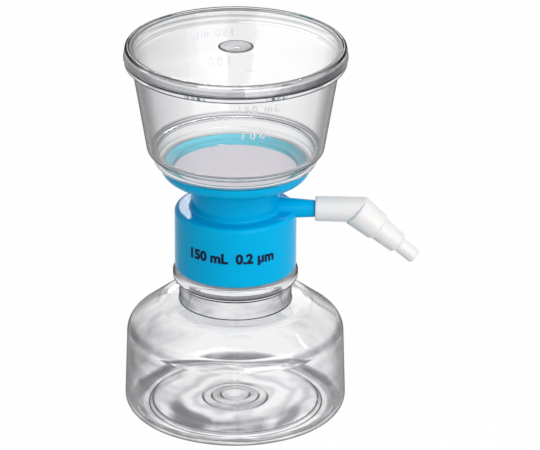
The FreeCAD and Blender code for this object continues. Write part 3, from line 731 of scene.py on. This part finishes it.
def bottle_corners(size):
    """The bottle's section, from under the base, up the outside and down the inside."""
    wall = size.wall
    lip = BOTTLE_TOP
    wall_corner = wall_top(size)
    wall_turn = math.tan((math.pi / 2 - size.shoulder_angle) / 2)
    flat_turn = math.tan(size.shoulder_angle / 2)
    ramp = wall * math.tan(math.pi / 8)  # keeps the wall as thick on a slope of 45 degrees
    step_ring = size.shoulder_height + size.neck_length
    bead_bottom = step_ring + size.bead_step_height
    bead_top = bead_bottom + size.bead_height

    under = [
        (size.foot_radius, 0, size.foot_round),
        (size.ring_radius, 0, size.ring_round),
        (size.ring_radius - size.base_rise, size.base_rise, size.ring_round),
    ]
    over = [
        (size.foot_radius - wall, wall, size.foot_round - wall),
        (size.ring_radius + ramp, wall, size.ring_round),
        (size.ring_radius + ramp - size.base_rise, wall + size.base_rise, size.ring_round),
    ]
    for step in reversed(range(size.step_count)):
        radius = size.step_radius + size.step_spacing * step
        low = size.base_rise + size.base_step * (size.step_count - 1 - step)
        high = low + size.base_step
        under += [(radius, low), (radius - size.base_step, high)]
        over += [(radius + ramp, low + wall), (radius + ramp - size.base_step, high + wall)]
    middle = size.base_rise + size.base_step * size.step_count
    under.append((0, middle))
    over.append((0, middle + wall))

    outside = [
        (size.body_radius, wall_corner, size.shoulder_round),
        (size.flat_radius, size.shoulder_height, size.shoulder_blend),
        (size.neck_radius, size.shoulder_height, size.neck_blend),
        (size.neck_radius, step_ring, size.lip_round),
        (size.neck_radius + size.bead_step, step_ring, size.lip_round),
        (size.neck_radius + size.bead_step, bead_bottom, size.lip_round),
        (size.bead_radius, bead_bottom, size.bead_round),
        (size.bead_radius, bead_top, size.bead_round),
        (size.finish_radius, bead_top),
        (size.finish_radius, lip, size.lip_round),
    ]
    inside = [
        (size.neck_bore, lip, size.lip_round),
        (size.neck_bore, size.shoulder_height - wall, size.neck_blend),
        (size.flat_radius - wall * flat_turn, size.shoulder_height - wall, size.shoulder_blend),
        (size.body_radius - wall, wall_corner - wall * wall_turn, size.shoulder_round - wall),
    ]
    return list(reversed(under)) + outside + inside + over


def roughen_inside(bm, size):
    """Move the blown inner wall in and out by soft waves; the neck and the outside stay true."""
    bm.normal_update()
    for vert in bm.verts:
        radial = Vector((vert.co.x, vert.co.y, 0))
        faces_in = vert.normal.dot(radial) < 0 or vert.normal.z > 0.5
        behind_wall = radial.length < size.body_radius - size.wall / 2
        under_neck = size.wall / 2 < vert.co.z < size.shoulder_height - size.wall / 2
        if faces_in and behind_wall and under_neck:
            wave = noise.noise(vert.co / size.wave_size)
            vert.co += vert.normal * wave * size.waviness


def add_seam(bm, size):
    """Raise the mould's parting line down the outside, at the front and the back."""
    across = Vector((math.cos(size.seam_azimuth), math.sin(size.seam_azimuth), 0))
    for offset in (-size.seam_width, 0, size.seam_width):
        bmesh.ops.bisect_plane(bm, geom=bm.verts[:] + bm.edges[:] + bm.faces[:], dist=WELD,
                               plane_co=across * offset, plane_no=across)
    bm.normal_update()
    for vert in bm.verts:
        radial = Vector((vert.co.x, vert.co.y, 0))
        outside = vert.normal.dot(radial) > 0 and radial.length > size.neck_radius - size.wall / 2
        on_line = abs(vert.co.dot(across)) < 10 * WELD
        if outside and on_line and vert.co.z > size.foot_round:
            vert.co += vert.normal * size.seam_rise


def neck_thread(size):
    """One ridge wound up the neck."""
    start = size.shoulder_height + size.neck_length + size.bead_step_height + size.bead_height
    start += size.thread_lead
    root = size.finish_radius - size.lip_round / 2
    crest = size.finish_radius + size.thread_depth
    bm = bmesh.new()
    corners = [
        (root, start - size.thread_root / 2),
        (crest, start - size.thread_crest / 2),
        (crest, start + size.thread_crest / 2),
        (root, start + size.thread_root / 2),
    ]
    section = bm.faces.new([bm.verts.new((radius, 0, height)) for radius, height in corners])
    steps = round(THREAD_STEPS * size.thread_turns)
    rise = size.thread_pitch * size.thread_turns / steps
    bmesh.ops.spin(bm, geom=[section] + section.edges[:] + section.verts[:], cent=(0, 0, 0),
                   axis=(0, 0, 1), dvec=(0, 0, rise), angle=FULL_TURN * size.thread_turns, steps=steps)
    bmesh.ops.remove_doubles(bm, verts=bm.verts[:], dist=WELD)
    bmesh.ops.recalc_face_normals(bm, faces=bm.faces[:])
    return bm


def joined(shell, ridge, name):
    """The union of two closed meshes, as one mesh."""
    pair = [bpy.data.objects.new(part, mesh_of(bm, part))
            for part, bm in (("shell", shell), ("ridge", ridge))]
    for item in pair:
        bpy.context.scene.collection.objects.link(item)
    union = pair[0].modifiers.new("union", "BOOLEAN")
    union.operation = "UNION"
    union.solver = "EXACT"
    union.object = pair[1]
    depsgraph = bpy.context.evaluated_depsgraph_get()
    mesh = bpy.data.meshes.new_from_object(pair[0].evaluated_get(depsgraph))
    mesh.name = name
    for item in pair:
        bpy.data.objects.remove(item)
    mesh.shade_smooth()
    mesh.set_sharp_from_angle(angle=SHARP_ANGLE)
    return mesh


# Painted shade arcs at the front of the base's heel: from and to along X, their fade (mm), and their share
# of the grey.
HEEL_SHADE_ARCS = ((-22, -12, 5, 1.0), (-6, 12, 5, 0.45), (20, 24, 4, 0.7))


def bottle_painted_shade(recipe, size, finish):
    """Painted shade of the blown bottle: its wall with random patches, its crest, the lines under the bead,
    its neck, foot and base.
    """
    height = recipe.along("Z")
    across = recipe.along("X")
    corner = wall_top(size)
    step_ring = size.shoulder_height + size.neck_length
    patches = recipe.between(recipe.pattern(70.0, stretch=(1, 1, 2.5)),
                             -finish.patchiness, finish.patchiness)
    # Painted shade: the side away from the port is painted greyer.
    far_side_shade = recipe.slope_over(across, -size.body_radius, size.body_radius, finish.side_painted_shade)
    wall = recipe.strip(height, size.foot_round + 3.6 * MM, corner - 5.55 * MM, fade=6 * MM)
    crest = recipe.strip(height, corner - 1.35 * MM, corner + 0.35 * MM, fade=1.2 * MM)
    neck = recipe.strip(height, size.shoulder_height + 0.5 * MM, step_ring, fade=0.5 * MM)
    under_bead = recipe.total(*(
        recipe.strip(height, line - 0.2 * MM, line + 0.3 * MM, fade=0.3 * MM)
        for line in (step_ring, step_ring + size.bead_step_height)))
    foot = recipe.product(
        recipe.strip(height, 0, 1.5 * MM, fade=1.5 * MM),
        recipe.strip(recipe.radius(), size.ring_radius + 3.3 * MM, size.foot_radius - 1.1 * MM, fade=1 * MM))
    # Painted shade: grey rings on the base's ripples, and grey arcs at the front of its heel.
    base = recipe.strip(height, 0, 4 * MM, fade=3 * MM)
    ripples = recipe.between(recipe.ripples(34.0, distortion=7.0), 0, finish.base_painted_shade)
    heel = recipe.product(
        recipe.strip(recipe.radius(), size.ring_radius - 9.7 * MM, size.ring_radius - 3.7 * MM, fade=4 * MM),
        recipe.strip(recipe.along("Y"), -size.body_radius, -10 * MM, fade=8 * MM))
    arcs = recipe.total(*(
        recipe.product(recipe.strip(across, left * MM, right * MM, fade * MM), share)
        for left, right, fade, share in HEEL_SHADE_ARCS))
    return recipe.total(
        recipe.product(wall, recipe.total(patches, far_side_shade, finish.wall_painted_shade)),
        recipe.product(crest, recipe.total(recipe.product(patches, 0.9), finish.crest_painted_shade)),
        recipe.product(under_bead, finish.bead_painted_shade),
        recipe.product(neck, recipe.total(patches, finish.neck_painted_shade)),
        recipe.product(foot, finish.foot_painted_shade),
        recipe.product(base, ripples),
        recipe.product(base, heel, arcs, finish.arc_painted_shade),
    )


class FILTRATION_OT_bottle(bpy.types.Operator):
    """Build the clear receiver bottle with its neck thread and parting line"""

    bl_idname = "filtration.bottle"
    bl_label = "Receiver Bottle"

    def execute(self, context):
        unit = context.scene.filtration_unit
        size = unit.bottle
        shell = turned(bottle_corners(size), unit.spin_steps)
        roughen_inside(shell, size)
        add_seam(shell, size)
        mesh = joined(shell, neck_thread(size), "bottle_shell")

        recipe = Recipe(bpy.data.materials.new("clear_bottle"))
        # Less of the painted crease shade and painted dark edge at the neck's foot.
        neck_foot = recipe.strip(recipe.along("Z"), size.shoulder_height - 0.3 * MM,
                                 size.shoulder_height + 1.2 * MM, fade=0.4 * MM)
        clear = clear_plastic(recipe, BOTTLE_WALL, unit.finishes, bottle_painted_shade(recipe, size, unit.finishes),
                              edge_left=recipe.between(neck_foot, 1.0, 0.35))
        add_piece("bottle_shell", mesh, clear, "receiver", ["receiver_bottle"])
        return {"FINISHED"}


# ---- funnel ----------------------------------------------------------------------------------------

def funnel_corners(size):
    """The funnel's section, from its foot, up the outside and down the inside."""
    wall = size.wall
    dish_top = DISH_TOP + size.rest_gap
    foot = MEMBRANE_TOP
    band_top = dish_top + size.band_height
    flange_bottom = band_top + size.wall_height
    flange_top = flange_bottom + size.flange_thick
    top = FUNNEL_TOP
    draft = (size.wall_top_radius - size.wall_bottom_radius) / size.wall_height
    band_inside = size.band_radius - wall
    inner_top = size.wall_top_radius - wall + draft * (top - flange_bottom)
    inner_bottom = size.wall_bottom_radius - wall + draft * wall
    throat_top = foot + size.throat_lip
    return [
        (size.throat_radius, foot),
        (size.foot_radius, foot, size.edge_round),
        (size.foot_radius, dish_top),
        (size.band_radius, dish_top, size.band_round),
        (size.band_radius, band_top, size.edge_round),
        (size.wall_bottom_radius, band_top, size.wall_round),
        (size.wall_top_radius, flange_bottom, size.edge_round),
        (size.flange_radius, flange_bottom, size.flange_round),
        (size.flange_radius, flange_top, size.flange_round),
        (size.rim_radius, flange_top, size.edge_round),
        (size.rim_radius, top),
        (inner_top, top),
        (inner_bottom, band_top + wall, size.wall_round - wall / 2),
        (band_inside, band_top + wall, size.edge_round),
        (band_inside, throat_top + size.floor_rise, size.band_round - wall / 2),
        (size.throat_radius, throat_top, size.edge_round),
    ]


# A mark of the scale: its text, its foot above the dish, the azimuth of its middle and its letter spacing.
GRADUATION = [
    ("150 mL", 36.1 * MM, math.radians(16.2), 1.25),
    ("100", 24.6 * MM, math.radians(13.3), 1.6),
]
SCALES = (0.0, math.pi)  # where the two scales stand
NUMBER_MIDDLE = 0.45  # middle of a number above its foot, as a share of the type size


def graduation(marks, size):
    """Raised lines and numbers on the funnel's wall, the same at the front and the back."""
    band_top = DISH_TOP + size.band_height
    draft = (size.wall_top_radius - size.wall_bottom_radius) / size.wall_height

    def wall_radius(height):
        return size.wall_bottom_radius + draft * (height - band_top)

    whole = bmesh.new()
    for side in SCALES:
        for text, above_dish, azimuth, spread in GRADUATION:
            level = DISH_TOP + above_dish
            sheet = bmesh.new()
            middle = level + marks.letter_size * NUMBER_MIDDLE
            text_sheet(sheet, text, marks.letter_size, marks.rise, middle, weight=0.014, spread=spread)
            left = min(vert.co.x for vert in sheet.verts)
            tick_sheet(sheet, marks.tick_length, marks.tick_height, marks.rise,
                       left - marks.tick_gap - marks.tick_length / 2, level - marks.tick_drop)
            cut_across(sheet, marks.wrap_step)
            wrap_round(sheet, side + azimuth, wall_radius, marks.rise)
            part = mesh_of(sheet, "mark")
            whole.from_mesh(part)
            bpy.data.meshes.remove(part)
    return whole


def funnel_painted_shade(recipe, size, finish):
    """Painted shade of the funnel on its wall, its moulded edges and the side away from the port, with
    painted light at the band and the flange.
    """
    height = recipe.along("Z")
    reach = size.wall_top_radius
    band_top = DISH_TOP + size.band_height
    edges = (band_top + size.wall + 0.8 * MM, band_top + 0.4 * MM, DISH_TOP + 1.9 * MM, DISH_TOP + 0.5 * MM)
    flange_bottom = band_top + size.wall_height
    wall = recipe.strip(height, band_top + 6 * MM, flange_bottom - 3.4 * MM, fade=6 * MM)
    rings = recipe.total(*(
        recipe.strip(height, edge, edge + 0.25 * MM, fade=0.25 * MM) for edge in edges))
    flange = recipe.strip(height, flange_bottom, FUNNEL_TOP, fade=1 * MM)
    band = recipe.strip(height, DISH_TOP, band_top, fade=1 * MM)
    return recipe.total(
        recipe.product(wall, finish.funnel_painted_shade),
        recipe.product(rings, finish.ring_painted_shade),
        recipe.product(flange, -finish.flange_painted_light),
        recipe.product(band, -finish.band_painted_light),
        recipe.slope_over(recipe.along("X"), -reach, reach, finish.side_painted_shade),
    )


class FILTRATION_OT_funnel(bpy.types.Operator):
    """Build the clear funnel and its moulded graduation"""

    bl_idname = "filtration.funnel"
    bl_label = "Funnel"

    def execute(self, context):
        unit = context.scene.filtration_unit
        size = unit.funnel
        shell = mesh_of(turned(funnel_corners(size), unit.spin_steps), "funnel_shell")
        recipe = Recipe(bpy.data.materials.new("clear_funnel"))
        # Less of the painted crease shade and painted dark edge below the funnel's wall.
        below_wall = recipe.strip(recipe.along("Z"), 0, DISH_TOP + size.band_height, fade=1 * MM)
        clear = clear_plastic(recipe, FUNNEL_WALL, unit.finishes, funnel_painted_shade(recipe, size, unit.finishes),
                              edge_left=recipe.between(below_wall, 1.0, 0.4))
        add_piece("funnel_shell", shell, clear, "head", ["funnel"])
        marks = mesh_of(graduation(unit.marks, size), "graduation")
        add_piece("graduation", marks, frosted_mark("frosted_mark"), "head")
        return {"FINISHED"}


# ---- lid -------------------------------------------------------------------------------------------

def lid_corners(size, funnel):
    """The lid's section, from the middle underneath, round the skirt to the middle on top."""
    panel_bottom = FUNNEL_TOP
    rim_top = LID_HIGH.z
    panel_top = rim_top - size.rim_rise
    skirt_bottom = LID_LOW.z
    skirt_inside = funnel.rim_radius + size.gap
    skirt_outside = skirt_inside + size.wall
    rim_inside = skirt_outside - size.rim_width
    ring_outside = size.gate_radius + size.gate_ring_width
    ring_top = panel_top + size.gate_ring_rise
    return [
        (0, panel_bottom),
        (skirt_inside, panel_bottom, size.edge_round),
        (skirt_inside + size.flare, skirt_bottom, size.edge_round),
        (skirt_outside + size.flare, skirt_bottom, size.edge_round),
        (skirt_outside, rim_top, size.top_round),
        (rim_inside, rim_top, size.edge_round),
        (rim_inside - size.rim_slope, panel_top, size.edge_round),
        (ring_outside, panel_top),
        (ring_outside - size.gate_ring_width / 2, ring_top),
        (size.gate_radius, ring_top),
        (size.gate_radius - size.gate_slope, panel_top - size.gate_depth),
        (0, panel_top - size.gate_depth),
    ]


def lid_painted_shade(recipe, lid, reach, finish):
    """Painted shade of the lid: the front of its skirt, more towards the port, its dimple, and the side away
    from the port.
    """
    across = recipe.along("X")
    skirt = recipe.strip(recipe.along("Z"), LID_LOW.z, LID_HIGH.z - 2.5 * MM, fade=1 * MM)
    # Painted shade: the skirt is painted grey only at its front.
    front = recipe.slope_over(recipe.along("Y"), 0, 20 * MM, 1)
    port_side = recipe.slope_over(across, reach, -reach, finish.port_side_painted_shade)
    dimple = recipe.strip(recipe.radius(), 0, lid.gate_radius, fade=lid.gate_ring_width)
    return recipe.total(
        recipe.product(skirt, front, recipe.total(port_side, finish.skirt_painted_shade)),
        recipe.product(dimple, finish.dimple_painted_shade),
        recipe.slope_over(across, -reach, reach, finish.side_painted_shade * 0.5),
    )


class FILTRATION_OT_lid(bpy.types.Operator):
    """Build the clear lid with its raised rim and moulding dimple"""

    bl_idname = "filtration.lid"
    bl_label = "Lid"

    def execute(self, context):
        unit = context.scene.filtration_unit
        shell = mesh_of(turned(lid_corners(unit.lid, unit.funnel), unit.spin_steps), "lid_shell")
        recipe = Recipe(bpy.data.materials.new("clear_lid"))
        grey = lid_painted_shade(recipe, unit.lid, unit.funnel.flange_radius, unit.finishes)
        clear = clear_plastic(recipe, LID_WALL, unit.finishes, grey)
        add_piece("lid_shell", shell, clear, "lid", ["lid"])
        return {"FINISHED"}


# ---- adapter, connector and inner parts ------------------------------------------------------------

def collar_print(marks):
    """Thin letters round the collar."""
    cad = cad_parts["adapter"].data
    collar_radius = max(vert.co.xy.length for vert in cad.vertices if vert.co.z < marks.print_height)
    sheet = bmesh.new()
    text_sheet(sheet, marks.print_text, marks.print_size, marks.print_rise, marks.print_height, weight=0.05)
    cut_across(sheet, marks.wrap_step)
    wrap_round(sheet, marks.print_azimuth, lambda height: collar_radius, marks.print_rise)
    return sheet


def seam_corners(size, seam):
    """The weld under and round the funnel's foot, from its inner edge."""
    low = MEMBRANE_TOP + seam.depth / 4
    high = MEMBRANE_TOP + seam.depth
    outside = size.foot_radius + seam.depth
    return [
        (size.throat_radius + seam.inset, low),
        (outside, low),
        (outside, DISH_TOP - seam.depth),
        (size.foot_radius - seam.depth, DISH_TOP - seam.depth),
        (size.foot_radius - seam.depth, high),
        (size.throat_radius + seam.inset, high),
    ]


class FILTRATION_OT_adapter(bpy.types.Operator):
    """Finish the coloured adapter, weld the funnel into it and print its collar"""

    bl_idname = "filtration.adapter"
    bl_label = "Adapter"

    def execute(self, context):
        unit = context.scene.filtration_unit
        finish = unit.finishes
        blue = moulded_plastic("blue_adapter", finish.adapter_colour, rough=0.07, grain=60.0,
                               grain_depth=0.03 * MM, shine=0.05)
        paint_node("adapter", blue)
        seam = turned(seam_corners(unit.funnel, unit.seam), unit.spin_steps)
        # The weld seam is real; its lighter blue than the adapter's is painted light.
        pale = moulded_plastic("weld_plastic", finish.weld_lit_colour, rough=0.12, grain=60.0,
                               grain_depth=0.05 * MM, shine=0.05)
        add_piece("weld_seam", mesh_of(seam, "weld_seam"), pale, "head")
        letters = mesh_of(collar_print(unit.marks), "collar_print")
        ink = printed_ink("print_ink", finish.ink_colour)
        add_piece("collar_print", letters, ink, "head")
        return {"FINISHED"}


class FILTRATION_OT_connector(bpy.types.Operator):
    """Finish the white hose connector"""

    bl_idname = "filtration.connector"
    bl_label = "Hose Connector"

    def execute(self, context):
        finish = context.scene.filtration_unit.finishes
        white = moulded_plastic("white_connector", finish.connector_colour, rough=0.42, grain=900.0,
                                grain_depth=0.03 * MM, scatter=0.2)
        paint_node("hose_connector", white)
        return {"FINISHED"}


class FILTRATION_OT_inner_parts(bpy.types.Operator):
    """Finish the membrane, the neck seal and the port's fibre plug"""

    bl_idname = "filtration.inner_parts"
    bl_label = "Inner Parts"

    def execute(self, context):
        finish = context.scene.filtration_unit.finishes
        paint_node("membrane", membrane_paper("filter_membrane", finish.membrane_colour))
        paint_node("neck_seal", soft_rubber("seal_rubber", finish.seal_colour))
        paint_node("port_filter", pressed_fibre("fibre_plug", finish.plug_colour))
        return {"FINISHED"}


# ---- stage -----------------------------------------------------------------------------------------

class Lamp(NamedTuple):
    """A soft rectangular lamp: where it stands, what it looks at, and its size, all in metres."""

    place: tuple
    target: tuple
    wide: float
    high: float


MIDDLE = (0, 0, 0.08)  # the middle of the unit
LEDGE = (-0.02, 0, 0.087)  # the adapter's ledge, away from the port

# The power of each lamp is the stage's setting of the same name.
LAMPS = {
    "key_lamp": Lamp((0.85, -1.25, 1.2), MIDDLE, wide=2.4, high=2.0),
    "front_lamp": Lamp((0.9, -1.5, 0.25), MIDDLE, wide=1.2, high=0.8),
    "side_lamp": Lamp((0.78, -0.02, 1.0), MIDDLE, wide=0.03, high=0.12),
    "left_lamp": Lamp((-0.9, -0.5, 0.65), MIDDLE, wide=0.3, high=0.3),
    "back_lamp": Lamp((0.37, 2.2, 1.05), MIDDLE, wide=1.0, high=0.6),
    "ledge_lamp": Lamp((-0.48, 6.0, 2.675), LEDGE, wide=0.3, high=0.08),
}


def add_floor():
    """A wide pale floor."""
    bm = bmesh.new()
    bmesh.ops.create_grid(bm, x_segments=8, y_segments=8, size=6.0)
    floor = bpy.data.objects.new("floor", mesh_of(bm, "floor"))
    floor.data.materials.append(white_seen("pale_floor", see_share=0.98, colour=(0.8, 0.8, 0.8)))
    bpy.context.scene.collection.objects.link(floor)


def add_world(light):
    """Even room light, white where the camera, gloss or glass looks at it."""
    world = bpy.data.worlds.new("white_room")
    bpy.context.scene.world = world
    recipe = Recipe(world, "OutputWorld")
    room = recipe.add("Background", Color=(1, 1, 1, 1), Strength=light).outputs[0]
    white = recipe.add("Background", Color=(1, 1, 1, 1), Strength=1.0).outputs[0]
    recipe.join(recipe.mixed(seen_by_eye(recipe), room, white), recipe.output.inputs["Surface"])


def add_lamp(name, lamp, power):
    """Hang up a lamp."""
    light = bpy.data.lights.new(name, "AREA")
    light.shape = "RECTANGLE"
    light.size = lamp.wide
    light.size_y = lamp.high
    light.energy = power
    holder = bpy.data.objects.new(name, light)
    place = Vector(lamp.place)
    turn = (Vector(lamp.target) - place).to_track_quat("-Z", "Y")
    holder.matrix_world = Matrix.Translation(place) @ turn.to_matrix().to_4x4()
    bpy.context.scene.collection.objects.link(holder)


def add_camera(stage):
    """The camera, aimed beside the axis so that the port's side has room."""
    turn = stage.camera_azimuth
    aim = Vector((math.cos(turn), math.sin(turn), 0)) * stage.aim_right
    aim.z = stage.aim_height
    level = math.cos(stage.camera_elevation)
    back = Vector((math.sin(turn) * level, -math.cos(turn) * level, math.sin(stage.camera_elevation)))
    camera = bpy.data.cameras.new("camera")
    camera.lens = stage.camera_lens
    camera.sensor_width = 36.0
    holder = bpy.data.objects.new("camera", camera)
    facing = (-back).to_track_quat("-Z", "Y").to_matrix().to_4x4()
    facing @= Matrix.Rotation(stage.camera_roll, 4, "Z")
    holder.matrix_world = Matrix.Translation(aim + back * stage.camera_distance) @ facing
    bpy.context.scene.collection.objects.link(holder)
    bpy.context.scene.camera = holder


class FILTRATION_OT_stage(bpy.types.Operator):
    """Set up the pale floor, the soft lamps and the camera"""

    bl_idname = "filtration.stage"
    bl_label = "Stage"

    def execute(self, context):
        stage = context.scene.filtration_unit.stage
        context.scene.view_settings.view_transform = "Standard"
        add_floor()
        add_world(stage.world_light)
        for name, lamp in LAMPS.items():
            add_lamp(name, lamp, getattr(stage, name))
        add_camera(stage)
        return {"FINISHED"}


# ---- add-on ----------------------------------------------------------------------------------------

class FILTRATION_PT_panel(bpy.types.Panel):
    """The unit's operators and settings in the sidebar"""

    bl_idname = "FILTRATION_PT_panel"
    bl_label = "Filtration Unit"
    bl_space_type = "VIEW_3D"
    bl_region_type = "UI"
    bl_category = "Filtration"

    def draw(self, context):
        layout = self.layout
        unit = context.scene.filtration_unit
        for operator in OPERATORS:
            layout.operator(operator.bl_idname)
        groups = (unit.bottle, unit.funnel, unit.lid, unit.seam, unit.marks, unit.finishes, unit.stage)
        for group in groups:
            box = layout.box()
            for name in group.__annotations__:
                box.prop(group, name)


OPERATORS = (
    FILTRATION_OT_bottle,
    FILTRATION_OT_funnel,
    FILTRATION_OT_lid,
    FILTRATION_OT_adapter,
    FILTRATION_OT_connector,
    FILTRATION_OT_inner_parts,
    FILTRATION_OT_stage,
)
GROUPS = (BottleSizes, FunnelSizes, LidSizes, SeamSizes, MarkSizes, Finishes, StageSettings, UnitSettings)
CLASSES = GROUPS + OPERATORS + (FILTRATION_PT_panel,)


def register():
    """Register the classes and hang the settings on the scene."""
    for cls in CLASSES:
        bpy.utils.register_class(cls)
    bpy.types.Scene.filtration_unit = settings(UnitSettings, "Filtration unit", "All settings of the unit")


def unregister():
    """Take the settings and the classes away again."""
    del bpy.types.Scene.filtration_unit
    for cls in reversed(CLASSES):
        bpy.utils.unregister_class(cls)


def main():
    """Build the unit and its stage."""
    register()
    bpy.ops.filtration.bottle()
    bpy.ops.filtration.funnel()
    bpy.ops.filtration.lid()
    bpy.ops.filtration.adapter()
    bpy.ops.filtration.connector()
    bpy.ops.filtration.inner_parts()
    bpy.ops.filtration.stage()


if __name__ == "__main__":
    main()
